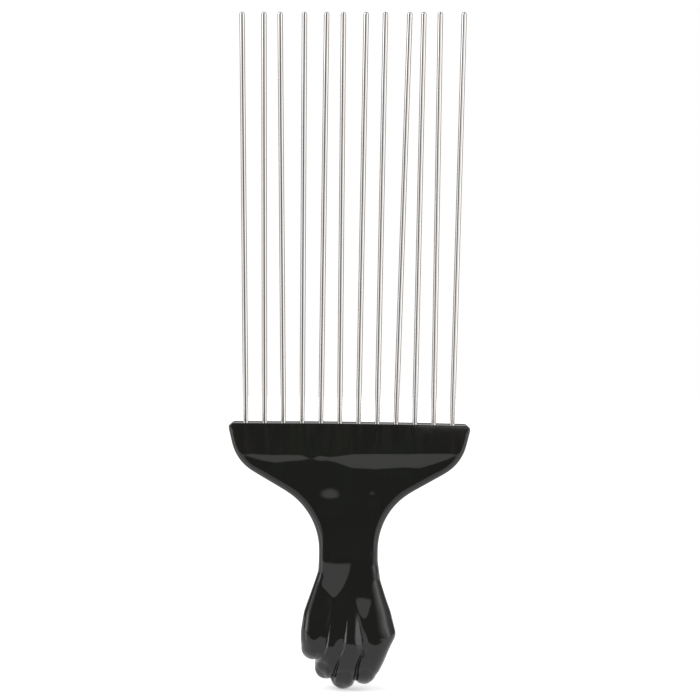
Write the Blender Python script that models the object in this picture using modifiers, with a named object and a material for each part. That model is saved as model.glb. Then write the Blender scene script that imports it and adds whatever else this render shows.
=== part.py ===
"""Hair pick: twelve long drawn-steel tines trapped between the two moulded halves of a plastic
handle, whose head narrows to a wrist and ends in a closed fist.

+Z runs along the tines, +X to the right as seen from the front, and the front faces -Y.
The handle halves meet at Y = 0, and the lowest finger joint touches Z = 0."""
import math

import bmesh
import bpy
from mathutils import Vector

MM = 0.001

# Handle head
HANDLE_HEIGHT = 94.0 * MM
HEAD_HALF_WIDTH = 43.2 * MM
HEAD_HALF_DEPTH = 7.0 * MM
HEAD_SIDE_DRAFT = math.radians(13.8)
HEAD_CORNER_RADIUS = 2.2 * MM
HEAD_EDGE_RADIUS = 1.2 * MM
HEAD_RIM_RADIUS = 0.7 * MM
HEAD_FLAT_HEIGHT = 11.2 * MM
SHOULDER_DROP = 13.8 * MM
SHOULDER_SLOPE = math.radians(30.0)
SHOULDER_RADIUS = 16.0 * MM

# Neck and wrist, below a slope that ends the head's flat face
SLOPE_HEIGHT = 4.8 * MM
SLOPE_HALF_DEPTH = 6.0 * MM
SLOPE_EDGE_RADIUS = 2.3 * MM
NECK_HEIGHT = 58.0 * MM
NECK_HALF_WIDTH = 10.4 * MM
NECK_HALF_DEPTH = 5.7 * MM
NECK_EDGE_RADIUS = 2.8 * MM
NECK_BEND_RADIUS = 24.0 * MM
WRIST_HEIGHT = 46.0 * MM
WRIST_HALF_DEPTH = 6.6 * MM
WRIST_EDGE_RADIUS = 3.6 * MM

# Back of the hand and palm, as stations: height, left, right, front, rear, edge radius
HAND_STATIONS = [
    (38.0 * MM, 11.5 * MM, 11.6 * MM, 6.2 * MM, 6.9 * MM, 3.8 * MM),
    (30.0 * MM, 14.4 * MM, 14.5 * MM, 6.7 * MM, 7.6 * MM, 4.4 * MM),
    (20.5 * MM, 15.9 * MM, 17.2 * MM, 7.8 * MM, 7.4 * MM, 5.4 * MM),
    (12.5 * MM, 13.4 * MM, 14.4 * MM, 5.8 * MM, 6.0 * MM, 4.8 * MM),
    (7.0 * MM, 7.6 * MM, 10.4 * MM, 2.6 * MM, 3.4 * MM, 2.4 * MM),
]

# Fingers, as joints from the back of the hand to the tip: x, y, z, radius
INDEX_FINGER = [
    (6.6 * MM, -0.8 * MM, 33.0 * MM, 3.2 * MM),
    (9.7 * MM, -4.6 * MM, 19.0 * MM, 4.4 * MM),
    (7.7 * MM, -0.2 * MM, 6.6 * MM, 4.8 * MM),
    (7.0 * MM, 4.4 * MM, 11.0 * MM, 3.9 * MM),
    (6.8 * MM, 3.8 * MM, 17.0 * MM, 3.4 * MM),
]
MIDDLE_FINGER = [
    (2.4 * MM, -0.8 * MM, 33.0 * MM, 3.2 * MM),
    (2.7 * MM, -5.2 * MM, 19.0 * MM, 4.1 * MM),
    (-0.9 * MM, -0.4 * MM, 4.4 * MM, 4.4 * MM),
    (-1.1 * MM, 4.4 * MM, 9.6 * MM, 3.9 * MM),
    (-0.8 * MM, 3.9 * MM, 16.5 * MM, 3.4 * MM),
]
RING_FINGER = [
    (-2.2 * MM, -0.8 * MM, 32.0 * MM, 3.1 * MM),
    (-3.8 * MM, -4.9 * MM, 18.8 * MM, 3.9 * MM),
    (-7.0 * MM, -0.4 * MM, 7.3 * MM, 3.8 * MM),
    (-7.2 * MM, 4.3 * MM, 11.9 * MM, 3.6 * MM),
    (-6.8 * MM, 3.9 * MM, 18.0 * MM, 3.2 * MM),
]
LITTLE_FINGER = [
    (-7.6 * MM, -0.8 * MM, 31.0 * MM, 3.0 * MM),
    (-11.0 * MM, -4.0 * MM, 19.0 * MM, 4.3 * MM),
    (-12.0 * MM, -0.2 * MM, 14.4 * MM, 4.1 * MM),
    (-12.0 * MM, 4.0 * MM, 16.4 * MM, 3.6 * MM),
    (-11.3 * MM, 4.0 * MM, 21.5 * MM, 3.2 * MM),
]
THUMB = [
    (7.4 * MM, 3.4 * MM, 34.0 * MM, 4.1 * MM),
    (12.0 * MM, 4.6 * MM, 22.5 * MM, 4.2 * MM),
    (9.4 * MM, 6.0 * MM, 15.5 * MM, 3.8 * MM),
    (0.6 * MM, 6.7 * MM, 12.6 * MM, 3.3 * MM),
]
FINGER_STEPS = 4
FINGER_ROUNDING_STEPS = 4
FINGER_DOME_ANGLES = [math.radians(30.0), math.radians(60.0), math.radians(82.0)]
# The joint where a finger folds back, and how much slimmer the folded stretch starts there
BENT_JOINT = 2
BENT_JOINT_STEP = 0.3 * MM

# Steps in the outline's roundings, in a section's rounded edge and between hand stations
CORNER_STEPS = 5
SHOULDER_STEPS = 6
NECK_BEND_STEPS = 10
EDGE_STEPS = 4
STATION_STEPS = 3
# Share of the rim's height where its rounding has a second section
RIM_SHARE = 0.3
# Least room that a rounded edge leaves, least height between sections, and what counts as one place
EDGE_MARGIN = 0.3 * MM
LEAST_STEP = 0.1 * MM
SAME_PLACE = 0.001 * MM

# Walls and inner features of the handle halves
WALL = 2.0 * MM
FIST_WALL = 2.6 * MM
TINE_WALL = 2.6 * MM
CRADLE_RIB = 2.0 * MM
CRADLE_RIB_DROP = 7.0 * MM
WRIST_RIB = 2.0 * MM
FIST_POCKET_BOTTOM = 14.0 * MM
SEAM_GAP = 0.3 * MM
BOSS_RADIUS = 2.6 * MM
ROD_SIDES = 16
PEG_RADIUS = 1.2 * MM
PEG_LENGTH = 3.0 * MM
PEG_CLEARANCE = 0.3 * MM
HEAD_PEG_SPACING = 13.6 * MM
HEAD_PEG_DROP = 24.6 * MM
FIST_PEG_HEIGHT = 25.0 * MM

# Tines
TINE_COUNT = 12
TINE_PITCH = 6.636 * MM
TINE_ROW_OFFSET = -0.25 * MM
TINE_RADIUS = 0.93 * MM
TINE_TIP_HEIGHT = 239.7 * MM
TINE_TIP_RISE = 1.1 * MM
TINE_HEAD_RADIUS = 1.4 * MM
TINE_HEAD_LENGTH = 0.9 * MM
TINE_CLEARANCE = 0.3 * MM
TINE_SIDES = 12
TINE_DOME_ANGLES = [0.0, math.radians(30.0), math.radians(60.0), math.radians(90.0)]
TINE_MERGE_DISTANCE = 0.01 * MM
# How far each tip stands to the right of its root, from left to right
TINE_TIP_SHIFTS = [
    -3.5 * MM, -2.4 * MM, -3.3 * MM, -1.3 * MM, -0.1 * MM, -0.8 * MM,
    0.6 * MM, 0.8 * MM, 2.8 * MM, 1.1 * MM, 0.3 * MM, 2.1 * MM,
]

# Room that a cutter leaves past the face it cuts
OVERCUT = 5.0 * MM

# Materials: colour, roughness and metallic
PLASTIC_COLOUR = (0.012, 0.012, 0.011)
PLASTIC_ROUGHNESS = 0.12
STEEL_COLOUR = (0.78, 0.77, 0.75)
STEEL_ROUGHNESS = 0.2


def clear_scene():
    for old in list(bpy.data.objects):
        bpy.data.objects.remove(old)


def new_collection(name):
    collection = bpy.data.collections.new(name)
    bpy.context.scene.collection.children.link(collection)
    return collection


def make_material(name, colour, roughness, metallic):
    material = bpy.data.materials.new(name)
    material.use_nodes = True
    shader = material.node_tree.nodes["Principled BSDF"]
    shader.inputs["Base Color"].default_value = (*colour, 1.0)
    shader.inputs["Roughness"].default_value = roughness
    shader.inputs["Metallic"].default_value = metallic
    return material


def add_object(name, mesh, collection, material=None):
    new = bpy.data.objects.new(name, mesh)
    collection.objects.link(new)
    if material:
        mesh.materials.append(material)
    return new


def add_guide(name, mesh, collection):
    guide = add_object(name, mesh, collection)
    guide.display_type = "WIRE"
    guide.hide_render = True
    return guide


def add_boolean(target, operation, cutter):
    modifier = target.modifiers.new(f"{operation.lower()} {cutter.name}", "BOOLEAN")
    modifier.operation = operation
    modifier.object = cutter
    modifier.solver = "EXACT"


def fillet(before, corner, after, radius, steps):
    """Points of an arc that rounds a corner of an outline."""
    to_before = (before - corner).normalized()
    to_after = (after - corner).normalized()
    half_angle = to_before.angle(to_after) / 2
    reach = radius / math.tan(half_angle)
    centre = corner + (to_before + to_after).normalized() * radius / math.sin(half_angle)
    start = (corner + to_before * reach - centre).normalized()
    end = (corner + to_after * reach - centre).normalized()
    return [centre + start.slerp(end, step / steps) * radius for step in range(steps + 1)]


def head_outline():
    """Half width against height, from the tine face down to the wrist, as (x, z) points."""
    top = Vector((0, HANDLE_HEIGHT))
    corner = Vector((HEAD_HALF_WIDTH, HANDLE_HEIGHT))
    shoulder = Vector((HEAD_HALF_WIDTH - SHOULDER_DROP * math.tan(HEAD_SIDE_DRAFT),
                       HANDLE_HEIGHT - SHOULDER_DROP))
    run = shoulder.x - NECK_HALF_WIDTH
    neck = Vector((NECK_HALF_WIDTH, shoulder.y - run * math.tan(SHOULDER_SLOPE)))
    wrist = Vector((NECK_HALF_WIDTH, WRIST_HEIGHT))
    points = fillet(top, corner, shoulder, HEAD_CORNER_RADIUS, CORNER_STEPS)
    points += fillet(corner, shoulder, neck, SHOULDER_RADIUS, SHOULDER_STEPS)
    points += fillet(shoulder, neck, wrist, NECK_BEND_RADIUS, NECK_BEND_STEPS)
    return points + [wrist]


def interpolate(table, height):
    """Value at a height in a falling table of (value, height) points."""
    for (value_a, height_a), (value_b, height_b) in zip(table, table[1:]):
        if height >= height_b:
            share = (height_a - height) / max(height_a - height_b, SAME_PLACE)
            return value_a + (value_b - value_a) * min(max(share, 0.0), 1.0)
    return table[-1][0]


def head_depth(height):
    """Half depth of head and neck: flat over the tine roots, then a slope and a hollow neck."""
    fold = HANDLE_HEIGHT - HEAD_FLAT_HEIGHT
    rim = HANDLE_HEIGHT - height
    table = [(HEAD_HALF_DEPTH, HANDLE_HEIGHT), (HEAD_HALF_DEPTH, fold),
             (SLOPE_HALF_DEPTH, fold - SLOPE_HEIGHT), (NECK_HALF_DEPTH, NECK_HEIGHT),
             (WRIST_HALF_DEPTH, WRIST_HEIGHT)]
    depth = interpolate(table, height)
    if rim < HEAD_RIM_RADIUS:
        drop = HEAD_RIM_RADIUS - rim
        depth -= HEAD_RIM_RADIUS - math.sqrt(max(HEAD_RIM_RADIUS ** 2 - drop ** 2, 0.0))
    return depth


def head_edge(height):
    """Rounding of the long edges of head and neck."""
    fold = HANDLE_HEIGHT - HEAD_FLAT_HEIGHT
    return interpolate([(HEAD_EDGE_RADIUS, fold), (SLOPE_EDGE_RADIUS, fold - SLOPE_HEIGHT),
                        (NECK_EDGE_RADIUS, NECK_HEIGHT), (WRIST_EDGE_RADIUS, WRIST_HEIGHT)], height)


def handle_stations():
    """Sections of the handle from the tine face to the fingers."""
    outline = [(point.x, point.y) for point in head_outline()]
    fold = HANDLE_HEIGHT - HEAD_FLAT_HEIGHT
    heights = {height for _, height in outline}
    heights |= {fold, fold - SLOPE_HEIGHT, NECK_HEIGHT}
    heights |= {HANDLE_HEIGHT - HEAD_RIM_RADIUS, HANDLE_HEIGHT - HEAD_RIM_RADIUS * RIM_SHARE}
    stations = []
    for height in sorted(heights, reverse=True):
        if stations and stations[-1][0] - height < LEAST_STEP:
            continue
        width = interpolate(outline, height)
        depth = head_depth(height)
        stations.append((height, width, width, depth, depth, head_edge(height)))
    return smooth_run(stations, HAND_STATIONS)


def catmull(before, start, end, after, share):
    """Point between start and end on the smooth curve through four points."""
    return tuple(
        0.5 * (2 * b + (c - a) * share + (2 * a - 5 * b + 4 * c - d) * share ** 2
               + (3 * b - a - 3 * c + d) * share ** 3)
        for a, b, c, d in zip(before, start, end, after))


def smooth_run(stations, following):
    """Adds the following stations, with smooth ones between them."""
    anchors = [stations[-2], stations[-1]] + following
    anchors.append(following[-1])
    for before, start, end, after in zip(anchors, anchors[1:], anchors[2:], anchors[3:]):
        stations += [catmull(before, start, end, after, (step + 1) / STATION_STEPS)
                     for step in range(STATION_STEPS)]
    return stations


def section_ring(left, right, front, rear, edge):
    """Closed ring of (x, y) points: a rectangle with rounded corners, seen from above."""
    ring = []
    corners = ((right, rear), (-left, rear), (-left, -front), (right, -front))
    for quarter, (x, y) in enumerate(corners):
        round_x = min(edge, abs(x) - EDGE_MARGIN)
        round_y = min(edge, abs(y) - EDGE_MARGIN)
        centre_x = x - math.copysign(round_x, x)
        centre_y = y - math.copysign(round_y, y)
        for step in range(EDGE_STEPS + 1):
            angle = (quarter + step / EDGE_STEPS) * math.pi / 2
            ring.append((centre_x + round_x * math.cos(angle), centre_y + round_y * math.sin(angle)))
    return ring


def loft(name, stations):
    """Closed mesh through the sections of falling stations."""
    mesh = bpy.data.meshes.new(name)
    bm = bmesh.new()
    rings = []
    for height, left, right, front, rear, edge in stations:
        ring = section_ring(left, right, front, rear, edge)
        rings.append([bm.verts.new((x, y, height)) for x, y in ring])
    for upper, lower in zip(rings, rings[1:]):
        for index in range(len(upper)):
            after = (index + 1) % len(upper)
            bm.faces.new((upper[index], lower[index], lower[after], upper[after]))
    bm.faces.new(rings[0])
    bm.faces.new(reversed(rings[-1]))
    bmesh.ops.remove_doubles(bm, verts=bm.verts, dist=SAME_PLACE)
    bm.to_mesh(mesh)
    bm.free()
    return mesh


def finger_path(joints):
    """Smooth path through a finger's joints, with its round ends, as (x, y, z, radius)."""
    anchors = [joints[0]] + joints + [joints[-1]]
    path = [joints[0]]
    for before, start, end, after in zip(anchors, anchors[1:], anchors[2:], anchors[3:]):
        path += [catmull(before, start, end, after, step / FINGER_STEPS)
                 for step in range(1, FINGER_STEPS + 1)]
    return round_end(path[::-1])[::-1][:-1] + round_end(path[-2:])[1:]


def round_end(path):
    """Path with a dome of shrinking points past its last one."""
    last = Vector(path[-1][:3])
    radius = path[-1][3]
    along = (last - Vector(path[-2][:3])).normalized()
    dome = []
    for angle in FINGER_DOME_ANGLES:
        place = last + along * radius * math.sin(angle)
        dome.append((*place, radius * math.cos(angle)))
    return path + dome


def finger_mesh(name, joints):
    """A finger as a tube whose thickness follows its joints."""
    curve = bpy.data.curves.new(name, "CURVE")
    curve.dimensions = "3D"
    curve.bevel_depth = MM
    curve.bevel_resolution = FINGER_ROUNDING_STEPS
    curve.use_fill_caps = True
    path = finger_path(joints)
    spline = curve.splines.new("POLY")
    spline.points.add(len(path) - 1)
    for point, (x, y, z, radius) in zip(spline.points, path):
        point.co = (x, y, z, 1.0)
        point.radius = radius / MM
    tube = bpy.data.objects.new(name, curve)
    bpy.context.scene.collection.objects.link(tube)
    evaluated = tube.evaluated_get(bpy.context.evaluated_depsgraph_get())
    mesh = bpy.data.meshes.new_from_object(evaluated)
    bpy.data.objects.remove(tube)
    bm = bmesh.new()
    bm.from_mesh(mesh)
    bmesh.ops.remove_doubles(bm, verts=bm.verts, dist=SAME_PLACE)
    bm.to_mesh(mesh)
    bm.free()
    return mesh


def slope_factor(stations, index):
    """How much wider a wall reads in a level section where the outline slopes."""
    above = stations[max(index - 1, 0)]
    below = stations[min(index + 1, len(stations) - 1)]
    slope = (above[1] - below[1]) / max(above[0] - below[0], LEAST_STEP)
    return math.sqrt(1 + slope ** 2)


def pocket_mesh(name, top, bottom, wall):
    """Hollow between two heights, one wall inside the handle's surface."""
    outer = handle_stations()
    inner = []
    for index, (height, left, right, front, rear, edge) in enumerate(outer):
        side = wall * slope_factor(outer, index)
        inner.append((height, left - side, right - side, front - wall, rear - wall,
                      max(edge - wall, EDGE_MARGIN)))
    ends = [tuple(interpolate([(station[item], station[0]) for station in inner], height)
                  for item in range(len(inner[0]))) for height in (top, bottom)]
    between = [station for station in inner if bottom + EDGE_MARGIN < station[0] < top - EDGE_MARGIN]
    return loft(name, [ends[0]] + between + [ends[1]])


def cylinders_mesh(name, rods, radius):
    """Closed cylinders, each between two points."""
    mesh = bpy.data.meshes.new(name)
    bm = bmesh.new()
    for start, end in rods:
        along = end - start
        turn = along.to_track_quat("Z", "Y").to_matrix().to_4x4()
        turn.translation = (start + end) / 2
        bmesh.ops.create_cone(bm, cap_ends=True, segments=ROD_SIDES, radius1=radius, radius2=radius,
                              depth=along.length, matrix=turn)
    bm.to_mesh(mesh)
    bm.free()
    return mesh


def peg_places():
    """Centres of the locating pegs in the parting plane, as (x, z)."""
    head = HANDLE_HEIGHT - HEAD_PEG_DROP
    return [(-HEAD_PEG_SPACING / 2, head), (HEAD_PEG_SPACING / 2, head), (0.0, FIST_PEG_HEIGHT)]


def across(y_start, y_end):
    """Rods along Y at every peg's place."""
    return [(Vector((x, y_start, z)), Vector((x, y_end, z))) for x, z in peg_places()]


def tine_lean(index):
    exposed = tine_tip(index) - HANDLE_HEIGHT
    return math.atan2(TINE_TIP_SHIFTS[index], exposed)


def tine_tip(index):
    return TINE_TIP_HEIGHT + TINE_TIP_RISE * (index / (TINE_COUNT - 1) - 0.5)


def tine_seat(index):
    """Where a tine leaves the handle."""
    middle = (TINE_COUNT - 1) / 2
    return Vector((TINE_ROW_OFFSET + (index - middle) * TINE_PITCH, 0.0, HANDLE_HEIGHT))


def tine_bores():
    """Rods that open the tine wall and the cradle rib for each tine."""
    rods = []
    for index in range(TINE_COUNT):
        lean = tine_lean(index)
        along = Vector((math.sin(lean), 0.0, math.cos(lean)))
        depth = CRADLE_RIB_DROP + CRADLE_RIB + TINE_CLEARANCE
        rods.append((tine_seat(index) - along * depth, tine_seat(index) + along * OVERCUT))
    return rods


def half_space(name, rear):
    """Block that holds everything on one side of the parting plane."""
    reach = HEAD_HALF_WIDTH + OVERCUT
    bm = bmesh.new()
    bmesh.ops.create_cube(bm, size=1.0)
    for vert in bm.verts:
        vert.co.x *= 2 * reach
        vert.co.y = SEAM_GAP / 2 + (reach if vert.co.y > 0 else 0.0)
        vert.co.z = HANDLE_HEIGHT + OVERCUT if vert.co.z > 0 else -OVERCUT
        if not rear:
            vert.co.y = -vert.co.y
    if not rear:
        bmesh.ops.reverse_faces(bm, faces=bm.faces)
    mesh = bpy.data.meshes.new(name)
    bm.to_mesh(mesh)
    bm.free()
    return mesh


def make_handle_form(cutters):
    """Outer form of the whole handle, before it is parted into its halves."""
    form = add_guide("handle_form", loft("handle_form", handle_stations()), cutters)
    tubes = [("thumb", THUMB)]
    for name, joints in (("index", INDEX_FINGER), ("middle", MIDDLE_FINGER),
                         ("ring", RING_FINGER), ("little", LITTLE_FINGER)):
        x, y, z, radius = joints[BENT_JOINT]
        folded = [(x, y, z, radius - BENT_JOINT_STEP)] + joints[BENT_JOINT + 1:]
        tubes += [(f"{name}_knuckle", joints[:BENT_JOINT + 1]), (f"{name}_tip", folded)]
    for name, joints in tubes:
        finger = add_guide(name, finger_mesh(name, joints), cutters)
        add_boolean(form, "UNION", finger)
    return form


def make_pockets(cutters):
    """Hollows that leave the outer wall, the tine wall, the cradle rib and the wrist rib."""
    rib_top = HANDLE_HEIGHT - CRADLE_RIB_DROP
    rib_bottom = rib_top - CRADLE_RIB
    reach = HEAD_HALF_DEPTH + OVERCUT
    bosses = add_guide("boss_posts", cylinders_mesh("boss_posts", across(-reach, reach), BOSS_RADIUS),
                       cutters)
    spans = (
        ("tine_pocket", HANDLE_HEIGHT - TINE_WALL, rib_top, WALL),
        ("neck_pocket", rib_bottom, WRIST_HEIGHT + WRIST_RIB / 2, WALL),
        ("fist_pocket", WRIST_HEIGHT - WRIST_RIB / 2, FIST_POCKET_BOTTOM, FIST_WALL),
    )
    pockets = []
    for name, top, bottom, wall in spans:
        pocket = add_guide(name, pocket_mesh(name, top, bottom, wall), cutters)
        if name != "tine_pocket":
            add_boolean(pocket, "DIFFERENCE", bosses)
        pockets.append(pocket)
    return pockets


def make_shell(name, rear, form, pockets, bores, parts, plastic):
    """One moulded half of the handle."""
    shell = add_object(name, half_space(name, rear), parts, plastic)
    add_boolean(shell, "INTERSECT", form)
    for pocket in pockets:
        add_boolean(shell, "DIFFERENCE", pocket)
    add_boolean(shell, "DIFFERENCE", bores)
    return shell


def make_pegs(front_shell, rear_shell, cutters):
    """Pegs on the front half that enter sockets in the rear half."""
    face = SEAM_GAP / 2
    pegs = add_guide("pegs", cylinders_mesh("pegs", across(-face - PEG_RADIUS, PEG_LENGTH - face),
                                            PEG_RADIUS), cutters)
    sockets = add_guide("sockets", cylinders_mesh(
        "sockets", across(face - PEG_RADIUS, PEG_LENGTH - face + PEG_CLEARANCE),
        PEG_RADIUS + PEG_CLEARANCE), cutters)
    add_boolean(front_shell, "UNION", pegs)
    add_boolean(rear_shell, "DIFFERENCE", sockets)


def tine_profile(length, root):
    """Outer side of a tine from its domed tip down to the head on its root, as (x, z)."""
    profile = []
    for angle in TINE_DOME_ANGLES:
        profile.append((TINE_RADIUS * math.sin(angle), length - TINE_RADIUS * (1 - math.cos(angle))))
    profile += [
        (TINE_RADIUS, TINE_HEAD_LENGTH - root),
        (TINE_HEAD_RADIUS, TINE_HEAD_LENGTH - root),
        (TINE_HEAD_RADIUS, -root),
        (0.0, -root),
    ]
    return profile


def make_tine(index, parts, steel):
    """A straight wire with a domed tip and a formed head that the cradle rib holds."""
    name = f"tine_{index + 1:02d}"
    lean = tine_lean(index)
    length = (tine_tip(index) - HANDLE_HEIGHT) / math.cos(lean)
    root = CRADLE_RIB_DROP + CRADLE_RIB + TINE_CLEARANCE + TINE_HEAD_LENGTH
    profile = tine_profile(length, root)
    mesh = bpy.data.meshes.new(name)
    mesh.from_pydata([(x, 0.0, z) for x, z in profile],
                     [(item, item + 1) for item in range(len(profile) - 1)], [])
    tine = add_object(name, mesh, parts, steel)
    tine.location = tine_seat(index)
    tine.rotation_euler = (0.0, lean, 0.0)
    turn = tine.modifiers.new("turn", "SCREW")
    turn.axis = "Z"
    turn.steps = TINE_SIDES
    turn.render_steps = TINE_SIDES
    turn.use_merge_vertices = True
    turn.merge_threshold = TINE_MERGE_DISTANCE


def main():
    clear_scene()
    parts = new_collection("hair_pick")
    cutters = new_collection("cutters")
    plastic_front = make_material("front_plastic", PLASTIC_COLOUR, PLASTIC_ROUGHNESS, 0.0)
    plastic_rear = make_material("rear_plastic", PLASTIC_COLOUR, PLASTIC_ROUGHNESS, 0.0)
    form = make_handle_form(cutters)
    pockets = make_pockets(cutters)
    bores = add_guide("tine_bores", cylinders_mesh("tine_bores", tine_bores(),
                                                   TINE_RADIUS + TINE_CLEARANCE), cutters)
    front = make_shell("front_shell", False, form, pockets, bores, parts, plastic_front)
    rear = make_shell("rear_shell", True, form, pockets, bores, parts, plastic_rear)
    make_pegs(front, rear, cutters)
    for index in range(TINE_COUNT):
        steel = make_material(f"tine_{index + 1:02d}_steel", STEEL_COLOUR, STEEL_ROUGHNESS, 1.0)
        make_tine(index, parts, steel)


main()
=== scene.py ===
"""Looks of a hair pick: a glossy black handle moulded in two halves, whose head holds twelve long
steel tines and whose wrist ends in a closed fist.

+Z runs along the tines, +X to the right as seen from the front, and the front faces -Y.
The handle halves meet at Y = 0. Lengths are in metres."""
import math

import bpy
import numpy as np
from bpy.props import FloatProperty, FloatVectorProperty, IntProperty, PointerProperty
from mathutils import Matrix, Vector


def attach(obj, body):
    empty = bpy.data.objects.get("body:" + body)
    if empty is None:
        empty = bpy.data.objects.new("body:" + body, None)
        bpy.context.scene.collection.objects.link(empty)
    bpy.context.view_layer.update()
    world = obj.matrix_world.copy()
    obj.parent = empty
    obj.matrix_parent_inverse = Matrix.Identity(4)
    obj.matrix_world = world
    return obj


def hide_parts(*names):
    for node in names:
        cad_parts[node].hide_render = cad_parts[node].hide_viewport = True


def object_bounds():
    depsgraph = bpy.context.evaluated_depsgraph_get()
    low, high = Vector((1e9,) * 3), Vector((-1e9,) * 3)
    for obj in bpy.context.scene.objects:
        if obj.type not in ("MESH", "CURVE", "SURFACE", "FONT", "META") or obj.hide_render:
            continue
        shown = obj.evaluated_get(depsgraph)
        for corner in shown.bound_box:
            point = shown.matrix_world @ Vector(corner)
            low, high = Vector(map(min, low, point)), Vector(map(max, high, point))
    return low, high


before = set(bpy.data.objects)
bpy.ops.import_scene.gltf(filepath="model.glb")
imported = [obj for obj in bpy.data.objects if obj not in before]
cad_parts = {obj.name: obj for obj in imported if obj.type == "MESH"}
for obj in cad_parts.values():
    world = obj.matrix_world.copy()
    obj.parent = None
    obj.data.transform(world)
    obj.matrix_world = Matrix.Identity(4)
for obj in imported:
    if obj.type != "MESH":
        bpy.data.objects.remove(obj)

bl_info = {
    "name": "Fist Hair Pick",
    "version": (1, 0, 0),
    "blender": (4, 5, 0),
    "location": "View3D > Sidebar > Hair Pick",
    "description": "Builds a hair pick with a moulded fist handle, and a plain studio for it",
    "category": "Mesh",
}

MM = 0.001


def in_metres(sizes):
    """Sizes in millimetres, in lists and tuples of any depth, turned into metres."""
    if isinstance(sizes, (list, tuple)):
        return type(sizes)(in_metres(size) for size in sizes)
    return sizes * MM


BODY = "root"
CAD_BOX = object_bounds()
TINE_NODES = sorted(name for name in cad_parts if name.startswith("tine_"))

# Handle head, neck and wrist
HANDLE_HEIGHT = 94 * MM
HEAD_HALF_WIDTH = 42.95 * MM
HEAD_SIDE_DRAFT = math.radians(13.8)
HEAD_CORNER_RADIUS = 1.7 * MM
HEAD_RIM_RADIUS = 0.5 * MM
RIM_BLEND = 1.4 * MM
# How far the head's top stands off the handle's height, as (x, distance)
HEAD_CROWN = in_metres([(-42, -0.15), (-30, -0.05), (-10, 0.2), (22, 0.2), (42, 0)])
# Lip along the rear edge of the top: its height, and where it starts and is full
REAR_LIP = 0.2 * MM
REAR_LIP_SPAN = in_metres((5.3, 5.8))
SHOULDER_DROP = 13.8 * MM
SHOULDER_SLOPE = math.radians(30.0)
SHOULDER_RADIUS = 16 * MM
SHOULDER_STEPS = 24
NECK_HALF_WIDTH = 10.4 * MM
NECK_BEND_RADIUS = 24 * MM
NECK_BEND_STEPS = 40
WRIST_HEIGHT = 46 * MM

# Sides of the hand below the wrist: height and distance from the middle
LEFT_SIDE = in_metres([
    (41.8, 10.6), (38.6, 11.6), (32.9, 13.4), (27.3, 15.2), (21, 16.1), (17, 16.1), (14, 15.2),
    (12, 12), (7, 7.4), (0, 3),
])
RIGHT_SIDE = in_metres([(38.6, 11.5), (32.9, 13.5), (27.3, 15.7), (20, 17.6), (6, 11.9), (0, 9.6)])
SIDE_REACH = 1.3 * MM
# How far the front half's right side stands inside the rear half's, as (height, distance), and
# where on the right this starts
FRONT_TRIM = in_metres([(19, 0), (15.5, 0.3), (6, 0.4), (2, 0.1)])
TRIM_START = 8 * MM
# How far the wrist's middle line stands to the right, as (height, distance)
AXIS_DRIFT = in_metres([(66, 0), (50, 0.3), (38, 0.3), (28, 0)])
DRIFT_REACH = 5 * MM
# Rounding of the long edges between the sides and the faces, as (height, radius), and where on the
# face the left side's rounding passes into the right side's
HEAD_EDGE_RADII = in_metres([(94, 2.1), (86, 2), (77, 2.3), (66, 2.5)])
LEFT_EDGE_RADII = HEAD_EDGE_RADII + in_metres([(56, 3), (46, 3), (39, 2.9), (28, 3.7), (18, 5), (8, 4)])
RIGHT_EDGE_RADII = HEAD_EDGE_RADII + in_metres([
    (56, 2.8), (46, 3.6), (37, 4.4), (30, 5.4), (24, 7), (20, 7), (16, 5.2), (12, 5), (5, 4.4),
])
EDGE_REACH = 3 * MM
EDGE_CHANGE = in_metres((-4, 8))

# Relief of the front face, as columns across the handle. On the head: x, and the heights of the
# fold below the flat top and of the foot of the slope below it
HEAD_DEPTH = 7 * MM
FOLD_SLOPE = 0.215
HEAD_COLUMNS = in_metres([
    (-37.4, 83.1, 82.6), (-34.6, 83.4, 81.9), (-31.6, 83.2, 81), (-25.6, 83, 80), (-22, 83.2, 80.5),
    (-16.6, 83.1, 81), (-13.2, 82, 81.6), (-10.2, 83.1, 80.9), (-7.6, 82.6, 81.1), (-4.6, 82.8, 80.5),
    (1, 83.7, 78.5), (9, 83.9, 78.2), (20.2, 84, 79), (24.6, 84.2, 78.7), (29.5, 84.3, 80.2),
    (34.6, 84.4, 82), (38, 84.2, 83.7),
])
HEAD_COLUMN_REACH = 1 * MM
NECK_HOLLOW = in_metres((58, 5.7))
WRIST_CREST = in_metres((46.1, 6.7))
# Rounding at the fold, the foot of its slope, the neck's hollow and the wrist
HEAD_ROUNDINGS = in_metres((0.4, 0.5, 9, 0.8))
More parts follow.
